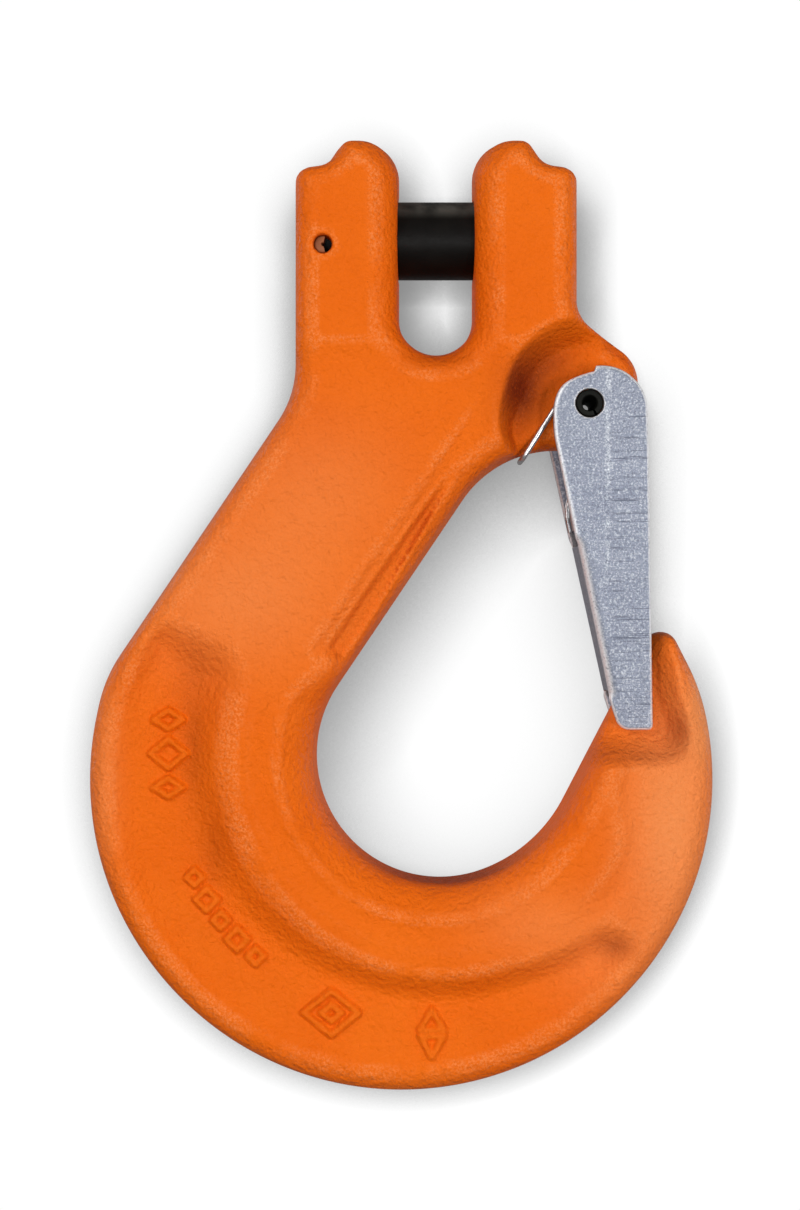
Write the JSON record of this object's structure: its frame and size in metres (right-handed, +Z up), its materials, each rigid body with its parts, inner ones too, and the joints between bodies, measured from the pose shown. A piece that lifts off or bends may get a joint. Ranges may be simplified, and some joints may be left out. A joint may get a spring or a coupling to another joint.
{
  "type": "clevis sling hook with safety latch",
  "caption": "Forged clevis sling hook with a load pin across its ears and a spring-closed sheet-metal safety latch across its throat.",
  "frame": {"origin": "on the load pin's axis, midway between the clevis ears", "axes": "+Z up the load line as the hook hangs, +X from the shank towards the tip and latch, +Y through the thickness, away from the face that shows the tip on the right"},
  "size_m": [0.1043, 0.024, 0.1588],
  "materials": {
    "hook_body": "bright orange paint over a forged surface with fine grain",
    "load_pin": "black oxide on turned steel, half matt",
    "load_pin_retainer": "black spring steel",
    "latch": "blue-grey zinc plate with a fine crystal grain and press marks",
    "latch_pin": "black spring steel",
    "latch_spring": "bright drawn spring wire"
  },
  "bodies": {
    "hook": {"hook_body": "hook_body", "load_pin": "load_pin", "load_pin_retainer": "load_pin_retainer", "latch_pin": "latch_pin", "latch_spring": "latch_spring"},
    "latch": {"latch": "latch"}
  },
  "joints": [
    {"name": "latch_hinge", "type": "hinge", "parent": "hook", "child": "latch", "pos_m": [0.0252, 0, -0.0279], "axis": [0, 1, 0], "range_deg": [0, 39], "stiffness_Nm_per_rad": 0.15, "springref_deg": -60.16, "deforming": ["latch_spring"]}
  ]
}
